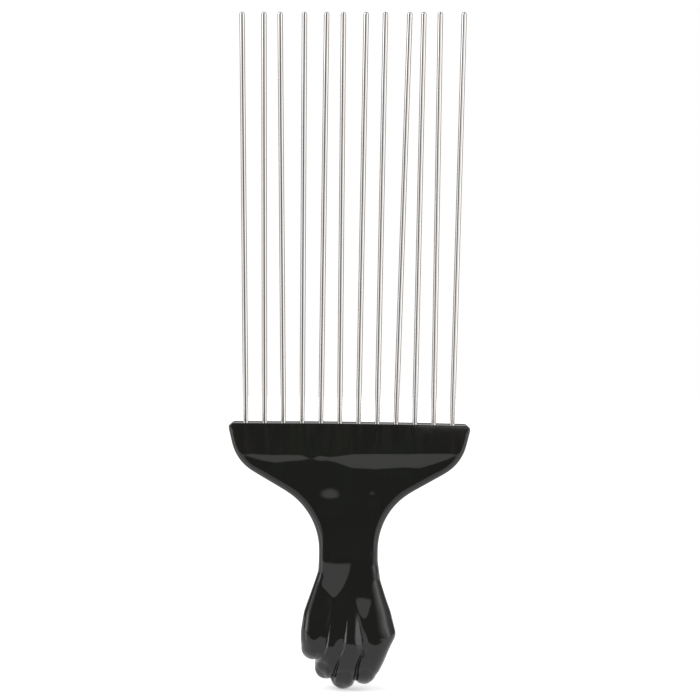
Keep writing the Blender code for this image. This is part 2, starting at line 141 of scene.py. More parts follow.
# On the hand: x, then the height and depth of the corners that a cut down the hand has there. These
# are the wrist's crest, the bottom of the hollow above the ring finger, the top and the bottom of
# the hollow between middle and index finger, and the foot of the knuckles. On the right the first
# two are the same for all. Last is the knuckle's depth alone
RIGHT_CREST = [(46.1, 6.7), (45.4, 6.7)]
HAND_COLUMNS = in_metres([
    (-14, [(46.1, 6.7), (40, 6.35), (32, 6.9), (25, 7.5), (23, 7.7)], 8.1),
    (-9.6, [(46.1, 6.7), (37.5, 6.1), (31, 6.8), (25, 7.5), (23, 7.74)], 8.3),
    (-4.6, [(45.2, 6.65), (32.2, 5.75), (28.5, 6.4), (24, 7.3), (22.5, 7.6)], 8.6),
    (-2.6, [(45, 6.65), (34.4, 5.9), (30, 6.6), (26, 7.3), (23.5, 7.8)], 8.8),
    (-0.3, [(45.4, 6.7), (38.4, 6.25), (32, 6.85), (28, 7.35), (24.5, 7.9)], 9),
    (1.6, [*RIGHT_CREST, (32.5, 7.1), (30.5, 7.25), (24.5, 7.85)], 9.15),
    (2.8, [*RIGHT_CREST, (33.2, 7.2), (32.6, 7.2), (26, 7.65)], 9.2),
    (4.2, [*RIGHT_CREST, (33.5, 7.2), (27.6, 7.05), (25.6, 7.25)], 9),
    (6.1, [*RIGHT_CREST, (33.4, 7.2), (24.8, 6.95), (24.6, 6.95)], 8.7),
    (7.5, [*RIGHT_CREST, (33.2, 7.2), (26.4, 7.02), (24.8, 7.2)], 8.75),
    (8.6, [*RIGHT_CREST, (33, 7.2), (32.4, 7.2), (24.5, 7.7)], 8.9),
    (12, [*RIGHT_CREST, (32.2, 7.1), (31.6, 7.1), (24.5, 7.7)], 8.8),
])
HAND_COLUMN_REACH = 0.9 * MM
HAND_ROUNDING = 1 * MM
# Height of the knuckles across the hand, as (x, height): low on each finger, high in each groove
KNUCKLES = in_metres([
    (-15.5, 19.9), (-12.8, 18.5), (-10.7, 17.8), (-8.6, 18.4), (-7.6, 18.5), (-6.2, 16.6), (-5.4, 16.6),
    (-4, 17.8), (-2.6, 18.7), (-1.2, 19), (0, 17.9), (2, 17.6), (3.8, 17.9), (6.4, 18.6), (8.2, 18.2),
    (9.8, 17.2), (12, 17), (14, 18.1), (15.4, 20.3),
])
KNUCKLE_REACH = 0.9 * MM
# How fast the fingers curl back below the knuckles, as (x, depth per height squared)
CURL = [
    (-14 * MM, 55), (-11 * MM, 45), (-8 * MM, 25), (-5 * MM, 20), (0, 16.5), (6 * MM, 17), (14 * MM, 22),
]
CURL_REACH = 2 * MM
# Grooves between the fingers, from little and ring finger to middle and index finger: their course
# as (height, x), their depths and those of the crease between the curled fingers below as (height,
# depth), and the slopes of their left flank and of their right one, low and high on the hand
GROOVES = [
    {
        "course": in_metres([
            (30, -5.2), (27.1, -5.4), (15, -7.3), (13.4, -7.8), (11.7, -9.2), (10.2, -10.9), (8.4, -13),
        ]),
        "depths": in_metres([
            (30, 0), (25, 0.25), (20, 0.52), (17.2, 0.7), (15.5, 0.5), (13.5, 0.35), (11.5, 0.3),
            (10, 0.5),
        ]),
        "crease": in_metres([(12.8, 0), (11.8, 0.8), (11, 1.6), (10.2, 2.4), (8.4, 2.6)]),
        "slopes": (0.17, 0.8, 0.8),
    },
    {
        "course": in_metres([
            (29, 0.35), (25.6, 0.1), (15, -1.3), (11.2, -2.7), (3.9, -4.5), (2, -4.8),
        ]),
        "depths": in_metres([
            (28, 0), (25, 0.3), (20, 0.66), (17.5, 0.8), (15, 0.55), (12, 0.25), (8, 0.1),
        ]),
        "crease": in_metres([(14, 0), (12, 0.5), (8, 1.2), (4, 1.4)]),
        "slopes": (0.17, 0.85, 0.85),
    },
    {
        "course": in_metres([(27.5, 3.8), (24.4, 4.5), (19, 5.5), (15.6, 6), (9.1, 3.9), (3.2, 3.5)]),
        "depths": in_metres([
            (28.2, 0), (26.5, 0.2), (24.4, 0.6), (19, 1.3), (15, 1.1), (11, 0.6), (6, 0.3),
        ]),
        "crease": in_metres([(16, 0), (14, 1.1), (4, 1.5)]),
        "slopes": (0.5, 0.6, 0.9),
    },
]
GROOVE_REACH = 1.2 * MM
GROOVE_ROUNDING = 0.06 * MM
GROOVE_SHOULDER = 0.12 * MM
# Heights between which a right flank changes its slope
GROOVE_SLOPE_HEIGHTS = in_metres((19, 25))
# Slope of the creases' flanks between the curled fingers
CREASE_SLOPE = 1.6
# Sink marks over the inner posts, as (x, z, depth, spread in x, spread in z)
SINKS = in_metres([(-6.3, 66.9, 0.5, 3.1, 2.4), (8.35, 68.2, 0.3, 1.5, 1.5)])

# Depth of the rear face, as (height, depth), and the lower end of the palm
REAR = in_metres([
    (94, 7), (82.9, 7), (77.6, 5.9), (68, 5.7), (60, 5.6), (46, 6.6), (30, 7.6), (21, 7.4), (12.5, 6),
    (7, 3.4),
])
FACE_REACH = 0.8 * MM
PALM_BOTTOM = 4.7 * MM
PALM_ROUNDING = 2.4 * MM

# Curled fingers, as joints from the knuckle to the tip: x, y, z, radius
FINGERS = {
    "index": in_metres([
        (9.6, -4.6, 18, 4.2), (8.8, -2.6, 11.5, 4.2), (6.5, 0.1, 6.1, 4.2), (6.6, 4.4, 10.6, 3.9),
        (6.8, 3.8, 17, 3.4),
    ]),
    "middle": in_metres([
        (2.6, -4.8, 18, 3.8), (1.5, -3.4, 11, 4), (-0.9, -0.2, 4.45, 4.4), (-1, 4.4, 9.6, 3.9),
        (-0.8, 3.9, 16.5, 3.4),
    ]),
    "ring": in_metres([
        (-3.9, -4.4, 18, 3.6), (-5, -3, 12.2, 3.7), (-7.2, -0.2, 7.3, 3.7), (-7.2, 4.3, 11.9, 3.5),
        (-6.8, 3.9, 18, 3.2),
    ]),
    "little": in_metres([
        (-10.9, -4, 19.5, 4.1), (-11.8, -0.4, 14.5, 4), (-12, 4, 16.4, 3.5), (-11.3, 4, 21.5, 3.2),
    ]),
}
THUMB = in_metres([(7.4, 3.4, 34, 4), (11.9, 4.6, 22.5, 4), (9.4, 6, 15.5, 3.7), (0.6, 6.6, 12.6, 3.2)])
# Search for the nearest place on a finger: it starts at the nearest of so many samples a span, moves
# so many samples at most, in so many rounds, and takes the path to be no more curved than the least
# share of its pace allows
FINGER_SAMPLES = 8
SEARCH_REACH = 1.2
SEARCH_ROUNDS = 4
LEAST_PACE_SHARE = 0.4
# Height below which the fingers and the hand's relief are worked out, room above it in which the
# relief runs out, and the distance that stands for anything out of a finger's reach
HAND_TOP = 44 * MM
HAND_MARGIN = 5 * MM
FAR = 50 * MM

# Grid that the handle's mesh is read from: room around it, the fist's reach to either side, the
# finer cells below the head's top, those across the seam, those from there out, and how many
# levels of x are worked out at a time
GRID_MARGIN = 1 * MM
FIST_REACH = 18 * MM
RIM_DEPTH = 2 * MM
RIM_CELL = 0.25 * MM
SEAM_SPAN = in_metres((-0.35, 0.8))
SEAM_CELL = 0.115 * MM
DEPTH_CELL = 0.36 * MM
GRID_BATCH = 24
# Settling of the mesh on the surface: step that measures the slope, longest move, rounds before and
# after the mesh is evened out, the weight of that, and the least square of a slope and length of a
# move or normal that are divided by
SLOPE_STEP = 0.005 * MM
SETTLE_LIMIT = 0.3 * MM
SETTLE_ROUNDS = 2
RELAX_WEIGHT = 0.4
LEAST_SQUARE = 0.05
LEAST_LENGTH = 1e-12

# Tines
TINE_COUNT = 12
TINE_PITCH = 6.645 * MM
TINE_ROW_OFFSET = -0.15 * MM
TINE_RADIUS = 0.93 * MM
TINE_TIP_HEIGHT = 239.7 * MM
TINE_TIP_RISE = 1.1 * MM
TINE_DOME_STEPS = 8
TINE_DOME_ANGLE = math.radians(84)
TINE_HEAD_RADIUS = 1.4 * MM
TINE_HEAD_LENGTH = 0.9 * MM
# Share of the head's length that its straight side takes, and how much slimmer it starts
TINE_HEAD_SIDE = 0.92
TINE_HEAD_TAPER = 0.12
TINE_ROOT = 10.2 * MM
SHARP_ANGLE = math.radians(40)
# How far each tip stands to the right of its root, from left to right
TINE_TIP_SHIFTS = in_metres([-3.5, -2.4, -3.3, -1.3, -0.1, -0.8, 0.6, 0.8, 2.8, 1.1, 0.3, 2.1])

WHITE = (1.0, 1.0, 1.0, 1.0)
# Second colours of the plastic and the steel, and the heights between which the head's streaks of
# painted reflection start
REFLECTION_STREAK_COLOUR = (0.0165, 0.0145, 0.0115)
CLOUD_COLOUR = (0.0085, 0.0115, 0.0075)
TARNISH_COLOUR = (0.62, 0.55, 0.48)
REFLECTION_STREAK_HEIGHTS = in_metres((79, 86))

# Light that gloss and metal see around them, as (bearing in degrees, light): 0 is towards the
# camera and 90 to the object's right
STUDIO_LIGHT = [
    (-180, 0.45), (-130, 0.2), (-102, 0.25), (-93, 0.3), (-85, 1.4), (-80, 3.2), (-69, 3.2),
    (-60, 1.2), (-50, 0.35), (-42, 0.14), (-30, 0.12), (18, 0.12), (32, 0.45), (50, 1.2), (66, 2.2),
    (76, 2.2), (86, 0.9), (102, 0.5), (130, 0.2), (180, 0.45),
]
STUDIO_PEAK = max(light for _, light in STUDIO_LIGHT)
# White cards in front of the object: their place, the heights of their edges, and for each its left
# and right edge and its light
CARD_Y = -0.13
CARD_HEIGHTS = (0.0885, 0.3)
CARDS = {"left_card": (-0.6, -0.1, 1.0), "right_card": (0.028, 0.2, 1.05)}
# Floor: its reach, its grey, the light it adds for the camera, and what gloss and metal see of it.
# That is dim towards the camera, white near the object and behind it, and brighter beside the
# object, where it takes a share of the studio's strips
FLOOR_REACH = 4.0
FLOOR_GREY = 0.8
FLOOR_LIFT = 0.45
FLOOR_DIM = 0.1
FLOOR_FRONT = (-0.3, -0.19)
FLOOR_SIDES = (0.02, 0.12)
FLOOR_STRIP_SHARE = 0.5
# Soft lamp
KEY_PLACE = (-0.7, -0.5, 0.9)
KEY_AIM = (0.0, 0.0, 0.1)
KEY_SIZE = 0.5


class HandleSettings(bpy.types.PropertyGroup):
    fine_cell: FloatProperty(
        name="Fist cell", description="Mesh spacing on the fist", default=0.28 * MM,
        unit="LENGTH", precision=5)
    coarse_cell: FloatProperty(
        name="Head cell", description="Mesh spacing on head and neck", default=0.5 * MM,
        unit="LENGTH", precision=5)
    seam_gap: FloatProperty(
        name="Seam gap", description="From each half to the parting plane", default=0.04 * MM,
        unit="LENGTH", precision=5)
    seam_lip: FloatProperty(
        name="Seam lip", description="Rounding of each half's edge along the seam",
        default=0.28 * MM, unit="LENGTH", precision=5)
    crease_blend: FloatProperty(
        name="Crease blend", description="Rounding in the creases between fingers",
        default=0.3 * MM, unit="LENGTH", precision=5)
    web_blend: FloatProperty(
        name="Web blend", description="Rounding where fingers leave the hand",
        default=0.8 * MM, unit="LENGTH", precision=5)
    colour: FloatVectorProperty(
        name="Plastic", description="Colour of the black plastic", subtype="COLOR",
        default=(0.0085, 0.0085, 0.0078), min=0.0, max=1.0)
    roughness: FloatProperty(
        name="Polish", description="Roughness of the polished plastic", default=0.06,
        subtype="FACTOR", min=0.0, max=1.0)


class TineSettings(bpy.types.PropertyGroup):
    radius: FloatProperty(
        name="Radius", description="Radius of the wire", default=TINE_RADIUS, unit="LENGTH",
        precision=5)
    sides: IntProperty(
        name="Sides", description="Sides of a tine's section", default=32, min=8)
    colour: FloatVectorProperty(
        name="Steel", description="Colour of the plated steel wire", subtype="COLOR",
        default=(0.69, 0.665, 0.645), min=0.0, max=1.0)
    roughness: FloatProperty(
        name="Polish", description="Roughness of the drawn wire", default=0.05,
        subtype="FACTOR", min=0.0, max=1.0)


class StageSettings(bpy.types.PropertyGroup):
    distance: FloatProperty(
        name="Camera distance", description="From the camera to the tines", default=0.65,
        unit="LENGTH")
    field_width: FloatProperty(
        name="Field width", description="Width that the camera sees at the tines",
        default=247.8 * MM, unit="LENGTH", precision=4)
    middle: FloatVectorProperty(
        name="Picture middle", description="Point at the middle of the picture", subtype="XYZ",
        default=(-0.2 * MM, 0.0, 120 * MM), unit="LENGTH", precision=4)
    roll: FloatProperty(
        name="Roll", description="Turn of the camera about its axis", default=math.radians(0.85),
        subtype="ANGLE")
    key_power: FloatProperty(
        name="Key power", description="Power of the soft lamp", default=3.0, min=0.0)


class Profile:
    """A size that changes along an axis: a polyline with its corners rounded over a reach."""

    def __init__(self, stations, reach):
        self.places, self.sizes = np.array(sorted(stations)).T
        self.reach = reach
        runs = np.diff(self.places)
        middles = (self.sizes[1:] + self.sizes[:-1]) / 2
        self.areas = np.concatenate([[0.0], np.cumsum(runs * middles)])
        self.slopes = np.diff(self.sizes) / runs

    def area(self, at):
        """Area under the polyline up to a place. Past its ends it runs on level."""
        inner = np.clip(at, self.places[0], self.places[-1])
        index = np.clip(np.searchsorted(self.places, inner) - 1, 0, len(self.slopes) - 1)
        run = inner - self.places[index]
        area = self.areas[index] + self.sizes[index] * run + self.slopes[index] * run ** 2 / 2
        before = self.sizes[0] * np.minimum(at - self.places[0], 0.0)
        after = self.sizes[-1] * np.maximum(at - self.places[-1], 0.0)
        return area + before + after

    def size(self, at):
        return (self.area(at + self.reach) - self.area(at - self.reach)) / (2 * self.reach)

    def slope(self, at):
        after = np.interp(at + self.reach, self.places, self.sizes)
        before = np.interp(at - self.reach, self.places, self.sizes)
        return (after - before) / (2 * self.reach)


def fillet(before, corner, after, radius, steps):
    """Points of an arc that rounds a corner of an outline."""
    to_before = (before - corner).normalized()
    to_after = (after - corner).normalized()
    half_angle = to_before.angle(to_after) / 2
    reach = radius / math.tan(half_angle)
    centre = corner + (to_before + to_after).normalized() * radius / math.sin(half_angle)
    start = (corner + to_before * reach - centre).normalized()
    end = (corner + to_after * reach - centre).normalized()
    return [centre + start.slerp(end, step / steps) * radius for step in range(steps + 1)]


def head_stations():
    """Half width of head, shoulders and neck, as (height, half width)."""
    rise = 2 * SIDE_REACH
    corner = Vector((HEAD_HALF_WIDTH + rise * math.tan(HEAD_SIDE_DRAFT), HANDLE_HEIGHT + rise))
    shoulder = Vector((HEAD_HALF_WIDTH - SHOULDER_DROP * math.tan(HEAD_SIDE_DRAFT),
                       HANDLE_HEIGHT - SHOULDER_DROP))
    run = shoulder.x - NECK_HALF_WIDTH
    neck = Vector((NECK_HALF_WIDTH, shoulder.y - run * math.tan(SHOULDER_SLOPE)))
    wrist = Vector((NECK_HALF_WIDTH, WRIST_HEIGHT))
    outline = [
        corner,
        *fillet(corner, shoulder, neck, SHOULDER_RADIUS, SHOULDER_STEPS),
        *fillet(shoulder, neck, wrist, NECK_BEND_RADIUS, NECK_BEND_STEPS),
        wrist,
    ]
    return [(point.y, point.x) for point in outline]


def rounded_max(one, other, radius):
    """Intersection of two forms with the edge between them rounded."""
    a = one + radius
    b = other + radius
    outside = np.hypot(np.maximum(a, 0.0), np.maximum(b, 0.0))
    return np.minimum(np.maximum(a, b), 0.0) + outside - radius


def rounded_corner(one, other, cosine, radius):
    """Intersection of two planes that meet at a slant, with an arc between them. The cosine is that
    of the angle between their normals."""
    a = one + radius
    b = other + radius
    on_arc = (a > cosine * b) & (b > cosine * a)
    arc = np.sqrt(np.maximum(a ** 2 + b ** 2 - 2 * a * b * cosine, 0.0) / (1 - cosine ** 2))
    return np.where(on_arc, arc, np.maximum(a, b)) - radius


def blended_min(one, other, blend):
    """Union of two forms with the crease between them filled."""
    overlap = np.maximum(blend - np.abs(one - other), 0.0)
    return np.minimum(one, other) - overlap ** 2 / (4 * blend)


def ease(value, start, end):
    """Smooth step from 0 at start to 1 at end."""
    share = np.clip((value - start) / (end - start), 0.0, 1.0)
    return share * share * (3 - 2 * share)


class Finger:
    """A finger's field: the distance to a tube whose axis and radius follow a smooth path."""

    def __init__(self, joints, margin):
        anchors = np.array([joints[0], *joints, joints[-1]])
        before, start, end, after = anchors[:-3], anchors[1:-2], anchors[2:-1], anchors[3:]
        self.cubic = 0.5 * np.stack([
            2 * start, end - before, 2 * before - 5 * start + 4 * end - after,
            3 * start - before - 3 * end + after])
        self.spans = len(joints) - 1
        self.turns = np.linspace(0.0, self.spans, self.spans * FINGER_SAMPLES + 1)
        self.samples = self.place(self.turns)[0]
        reach = self.samples[:, 3:4] + margin
        self.low = (self.samples[:, :3] - reach).min(axis=0)
        self.high = (self.samples[:, :3] + reach).max(axis=0)

    def place(self, turns):
        """Point, pace and bend of the path, each as (x, y, z, radius)."""
        span = np.clip(turns.astype(int), 0, self.spans - 1)
        share = (turns - span)[:, None]
        a, b, c, d = self.cubic[:, span]
        point = ((d * share + c) * share + b) * share + a
        pace = (3 * d * share + 2 * c) * share + b
        return point, pace, 6 * d * share + 2 * c

    def distance(self, points):
        result = np.full(len(points), FAR)
        near = np.all((points > self.low) & (points < self.high), axis=1)
        close = points[near]
        centres = self.samples[:, :3]
        squares = ((close ** 2).sum(axis=1)[:, None] - 2 * close @ centres.T
                   + (centres ** 2).sum(axis=1))
        gaps = np.sqrt(np.maximum(squares, 0.0)) - self.samples[:, 3]
        turns = first = self.turns[gaps.argmin(axis=1)]
        room = SEARCH_REACH / FINGER_SAMPLES
        for _ in range(SEARCH_ROUNDS):
            place, pace, bend = self.place(turns)
            away = close - place[:, :3]
            length = np.sqrt((away ** 2).sum(axis=1))
            run = pace[:, :3]
            square = (run ** 2).sum(axis=1)
            curving = np.maximum(square - (away * bend[:, :3]).sum(axis=1), LEAST_PACE_SHARE * square)
            step = ((away * run).sum(axis=1) + pace[:, 3] * length) / curving
            turns = np.clip(turns + step, np.maximum(first - room, 0.0),
                            np.minimum(first + room, self.spans))
        place = self.place(turns)[0]
        result[near] = np.sqrt(((close - place[:, :3]) ** 2).sum(axis=1)) - place[:, 3]
        return result


def ramp(value, rounding):
    """Zero below zero and the value itself above it, with the corner rounded."""
    return (value + np.hypot(value, rounding)) / 2


class Relief:
    """Depth of a face from columns of corners: each corner's height and depth change across it."""

    def __init__(self, columns, reach, roundings):
        self.roundings = roundings
        corners = range(len(columns[0][1]))
        self.heights, self.depths = (
            [Profile([(x, column[corner][part]) for x, column in columns], reach) for corner in corners]
            for part in range(2))

    def depth(self, x, z):
        heights = [profile.size(x) for profile in self.heights]
        depths = [profile.size(x) for profile in self.depths]
        below = [ramp(height - z, rounding) for height, rounding in zip(heights, self.roundings)]
        total = depths[0]
        for item in range(len(heights) - 1):
            slope = (depths[item + 1] - depths[item]) / (heights[item] - heights[item + 1])
            total = total + slope * (below[item] - below[item + 1])
        return total


class Groove:
    """A groove between two fingers, with plane flanks. A narrow crease takes over between the curled
    fingers."""

    def __init__(self, course, depths, crease, slopes):
        self.course = Profile(course, GROOVE_REACH)
        self.depths = Profile(depths, GROOVE_REACH)
        self.crease = Profile(crease, GROOVE_REACH)
        self.slopes = slopes

    def depth(self, x, z):
        aside = x - self.course.size(z)
        deepest = self.depths.size(z)
        left, low, high = self.slopes
        right = low + (high - low) * ease(z, *GROOVE_SLOPE_HEIGHTS)
        away = np.hypot(aside, GROOVE_ROUNDING) - GROOVE_ROUNDING
        groove = ramp(deepest - away * np.where(aside < 0, left, right), GROOVE_SHOULDER)
        crease = ramp(self.crease.size(z) - away * CREASE_SLOPE, GROOVE_SHOULDER)
        return np.maximum(groove, crease)


class HandleForm:
    """The handle's outer form as a field: below zero inside, above zero outside."""

    def __init__(self, settings):
        self.settings = settings
        head = head_stations()
        self.left = Profile(head + LEFT_SIDE, SIDE_REACH)
        self.right = Profile(head + RIGHT_SIDE, SIDE_REACH)
        self.left_edge = Profile(LEFT_EDGE_RADII, EDGE_REACH)
        self.right_edge = Profile(RIGHT_EDGE_RADII, EDGE_REACH)
        head_columns = [
            (x, [(fold, HEAD_DEPTH), (foot, HEAD_DEPTH - FOLD_SLOPE * (fold - foot)),
                 NECK_HOLLOW, WRIST_CREST])
            for x, fold, foot in HEAD_COLUMNS]
        self.head_relief = Relief(head_columns, HEAD_COLUMN_REACH, HEAD_ROUNDINGS)
        self.knuckles = Profile(KNUCKLES, KNUCKLE_REACH)
        hand_columns = [(x, corners + [(0.0, depth)]) for x, corners, depth in HAND_COLUMNS]
        roundings = [HAND_ROUNDING] * len(hand_columns[0][1])
        self.hand_relief = Relief(hand_columns, HAND_COLUMN_REACH, roundings)
        self.hand_relief.heights[-1] = self.knuckles
        self.curl = Profile(CURL, CURL_REACH)
        self.grooves = [Groove(**groove) for groove in GROOVES]
        self.rear = Profile(REAR, FACE_REACH)
        self.drift = Profile(AXIS_DRIFT, DRIFT_REACH)
        self.crown = Profile(HEAD_CROWN, DRIFT_REACH)
        self.trim = Profile(FRONT_TRIM, SIDE_REACH)
        margin = 2 * settings.web_blend
        self.fingers = [Finger(joints, margin) for joints in FINGERS.values()]
        self.thumb = Finger(THUMB, margin)

    def front_depth(self, x, z):
        """Depth of the front face: the head's relief, and below it the hand's on top of that."""
        depth = self.head_relief.depth(x, z)
        for sink_x, sink_z, sink_depth, spread_x, spread_z in SINKS:
            away = ((x - sink_x) / spread_x) ** 2 + ((z - sink_z) / spread_z) ** 2
            depth = depth - sink_depth * np.exp(-away / 2)
        low = z < HAND_TOP + HAND_MARGIN
        x, z = x[low], z[low]
        hand = self.hand_relief.depth(x, z) - WRIST_CREST[1]
        hand -= self.curl.size(x) * ramp(self.knuckles.size(x) - z, HAND_ROUNDING) ** 2
        for groove in self.grooves:
            hand -= groove.depth(x, z)
        depth[low] += hand
        return depth

    def edge_radius(self, x, z):
        """Rounding of a face's edge, from the sides' to the rim's along the head's top."""
        left = self.left_edge.size(z)
        along = left + (self.right_edge.size(z) - left) * ease(x, *EDGE_CHANGE)
        below = HANDLE_HEIGHT - z
        inward = HEAD_HALF_WIDTH - np.abs(x)
        rim = ease(inward - below, -RIM_BLEND, RIM_BLEND)
        rim = rim * (1 - ease(below, 2 * RIM_BLEND, 4 * RIM_BLEND))
        return along + (HEAD_RIM_RADIUS - along) * rim

    def slab(self, x, y, z):
        """Head, neck and palm behind the parting plane: the outline given its depth."""
        x = x - self.drift.size(z)
        on_left = x < 0
        half = np.where(on_left, self.left.size(z), self.right.size(z))
        slope = np.where(on_left, self.left.slope(z), self.right.slope(z))
        side = (np.abs(x) - half) / np.sqrt(1 + slope ** 2)
        top = HANDLE_HEIGHT + self.crown.size(x) + REAR_LIP * ease(y, *REAR_LIP_SPAN)
        outline = rounded_corner(side, z - top, -slope / np.sqrt(1 + slope ** 2), HEAD_CORNER_RADIUS)
        form = rounded_max(outline, y - self.rear.size(z), self.edge_radius(x, z))
        return rounded_max(form, PALM_BOTTOM - z, PALM_ROUNDING)

    def body(self, points):
        """Head, neck, palm and fingers."""
        form = self.slab(*points.T)
        low = points[:, 2] < HAND_TOP
        near = points[low]
        fist = self.fingers[0].distance(near)
        for finger in self.fingers[1:]:
            fist = blended_min(fist, finger.distance(near), self.settings.crease_blend)
        hand = blended_min(form[low], fist, self.settings.web_blend)
        form[low] = blended_min(hand, self.thumb.distance(near), self.settings.crease_blend)
        return form

    def half(self, points, rear):
        """One half of the handle, with its lip along the seam. The front half is the outline that
        the rear half has at the seam, with the relief as its face."""
        x, y, z = points.T
        if rear:
            form = self.body(points)
            plane = -y
        else:
            outline = self.body(points * np.array([1.0, 0.0, 1.0]))
            outline += self.trim.size(z) * (x > TRIM_START)
            depth = self.front_depth(x, z)
            form = rounded_max(outline, -y - depth, np.minimum(self.edge_radius(x, z), depth))
            plane = y
        return rounded_max(form, plane + self.settings.seam_gap, self.settings.seam_lip)


def grid_lines(*runs):
    """Places along an axis: each run is (start, end, spacing)."""
    lines = []
    for start, end, spacing in runs:
        count = max(int(round((end - start) / spacing)), 1)
        lines += [start + (end - start) * step / count for step in range(count)]
    lines.append(runs[-1][1])
    return np.array(lines)


def field_on_grid(field, xs, ys, zs):
    """The field at every grid point, worked out a few levels of x at a time to save memory."""
    y_grid, z_grid = np.meshgrid(ys, zs, indexing="ij")
    values = np.empty((len(xs), len(ys), len(zs)))
    sheet = np.column_stack([np.zeros(y_grid.size), y_grid.ravel(), z_grid.ravel()])
    for first in range(0, len(xs), GRID_BATCH):
        group = xs[first:first + GRID_BATCH]
        points = np.tile(sheet, (len(group), 1))
        points[:, 0] = np.repeat(group, len(sheet))
        values[first:first + GRID_BATCH] = field(points).reshape(len(group), len(ys), len(zs))
    return values


def surface_net(values, xs, ys, zs):
    """Closed quad mesh where the gridded field changes sign: one vertex in each cell it crosses."""
    inside = values < 0
    axes = (xs, ys, zs)
    cells = tuple(len(axis) - 1 for axis in axes)
    total = np.zeros((cells[0] * cells[1] * cells[2], 3))
    count = np.zeros(len(total))
    rings = []
    for axis in range(3):
        others = [item for item in range(3) if item != axis]
        size = values.shape[axis] - 1
        start = np.take(inside, range(size), axis=axis)
        end = np.take(inside, range(1, size + 1), axis=axis)
        edges = np.argwhere(start != end)
        after = edges.copy()
        after[:, axis] += 1
        one = values[tuple(edges.T)]
        two = values[tuple(after.T)]
        share = one / (one - two)
        places = np.column_stack([axes[item][edges[:, item]] for item in range(3)])
        places[:, axis] += share * (axes[axis][after[:, axis]] - axes[axis][edges[:, axis]])
        around = []
        for step_a, step_b in ((1, 1), (0, 1), (0, 0), (1, 0)):
            cell = edges.copy()
            cell[:, others[0]] -= step_a
            cell[:, others[1]] -= step_b
            flat = np.ravel_multi_index(tuple(cell.T), cells)
            around.append(flat)
            for item in range(3):
                total[:, item] += np.bincount(flat, places[:, item], len(total))
            count += np.bincount(flat, minlength=len(total))
        ring = np.column_stack(around)
        flip = start[tuple(edges.T)] == (axis == 1)
        ring[flip] = ring[flip][:, ::-1]
        rings.append(ring)
    used = np.flatnonzero(count)
    number = np.full(len(total), -1)
    number[used] = np.arange(len(used))
    return total[used] / count[used, None], number[np.vstack(rings)]


def gradient(field, points):
    """The field and its slope at points."""
    here = field(points)
    slopes = []
    for axis in range(3):
        move = np.zeros(3)
        move[axis] = SLOPE_STEP
        slopes.append((field(points + move) - here) / SLOPE_STEP)
    return here, np.column_stack(slopes)


def settle(field, points):
    """Moves points along the field's slope onto the surface."""
    for _ in range(SETTLE_ROUNDS):
        here, slope = gradient(field, points)
        square = np.maximum((slope ** 2).sum(axis=1), LEAST_SQUARE)
        shift = here[:, None] * slope / square[:, None]
        length = np.sqrt((shift ** 2).sum(axis=1))[:, None]
        points = points - shift * np.minimum(1.0, SETTLE_LIMIT / np.maximum(length, LEAST_LENGTH))
    return points


def relax(field, points, quads):
    """Evens out the mesh: each point moves towards its neighbours' middle, along the surface."""
    starts = quads.ravel()
    ends = np.roll(quads, -1, axis=1).ravel()
    count = np.bincount(starts, minlength=len(points)) + np.bincount(ends, minlength=len(points))
    middle = np.zeros_like(points)
    for item in range(3):
        middle[:, item] = (np.bincount(starts, points[ends, item], len(points))
                           + np.bincount(ends, points[starts, item], len(points))) / count
    normal = gradient(field, points)[1]
    normal /= np.maximum(np.sqrt((normal ** 2).sum(axis=1)), LEAST_LENGTH)[:, None]
    shift = middle - points
    shift -= (shift * normal).sum(axis=1)[:, None] * normal
    return points + shift * RELAX_WEIGHT


def handle_half(name, form, rear):
    """Mesh of one half of the handle."""
    settings = form.settings
    fine = settings.fine_cell
    coarse = settings.coarse_cell
    low, high = CAD_BOX
    rim = HANDLE_HEIGHT - RIM_DEPTH
    depth = (high[1] if rear else -low[1]) + GRID_MARGIN
    xs = grid_lines((low[0] - GRID_MARGIN, -FIST_REACH, coarse), (-FIST_REACH, FIST_REACH, fine),
                    (FIST_REACH, high[0] + GRID_MARGIN, coarse))
    ys = grid_lines((*SEAM_SPAN, SEAM_CELL), (SEAM_SPAN[1], depth, DEPTH_CELL))
    zs = grid_lines((low[2] - GRID_MARGIN, HAND_TOP, fine), (HAND_TOP, rim, coarse),
                    (rim, HANDLE_HEIGHT + GRID_MARGIN, RIM_CELL))
    if not rear:
        ys = -ys[::-1]

    def field(points):
        return form.half(points, rear)

    points, quads = surface_net(field_on_grid(field, xs, ys, zs), xs, ys, zs)
    points = settle(field, points)
    points = relax(field, points, quads)
    points = settle(field, points)
    mesh = bpy.data.meshes.new(name)
    mesh.from_pydata(points.tolist(), [], quads.tolist())
    mesh.shade_smooth()
    return mesh


class Wire:
    """A node's output that takes Python's operators: each one adds a Math node."""

    def __init__(self, graph, socket):
        self.graph = graph
        self.socket = socket

    def _math(self, operation, first, second=None):
        inputs = {0: first} if second is None else {0: first, 1: second}
        return self.graph.add("ShaderNodeMath", inputs, {"operation": operation})

    def __add__(self, other):
        return self._math("ADD", self, other)

    def __sub__(self, other):
        return self._math("SUBTRACT", self, other)

    def __rsub__(self, other):
        return self._math("SUBTRACT", other, self)

    def __mul__(self, other):
        return self._math("MULTIPLY", self, other)

    def __truediv__(self, other):
        return self._math("DIVIDE", self, other)

    def at_least(self, other):
        return self._math("MAXIMUM", self, other)

    def bearing(self, other):
        """Angle of the direction whose sine and cosine sides are this wire and the other."""
        return self._math("ARCTAN2", self, other)

    def __lt__(self, other):
        return self._math("LESS_THAN", self, other)

    __radd__ = __add__

    def apply(self, operation):
        """A Math operation that has no Python operator, such as SINE."""
        return self._math(operation, self)


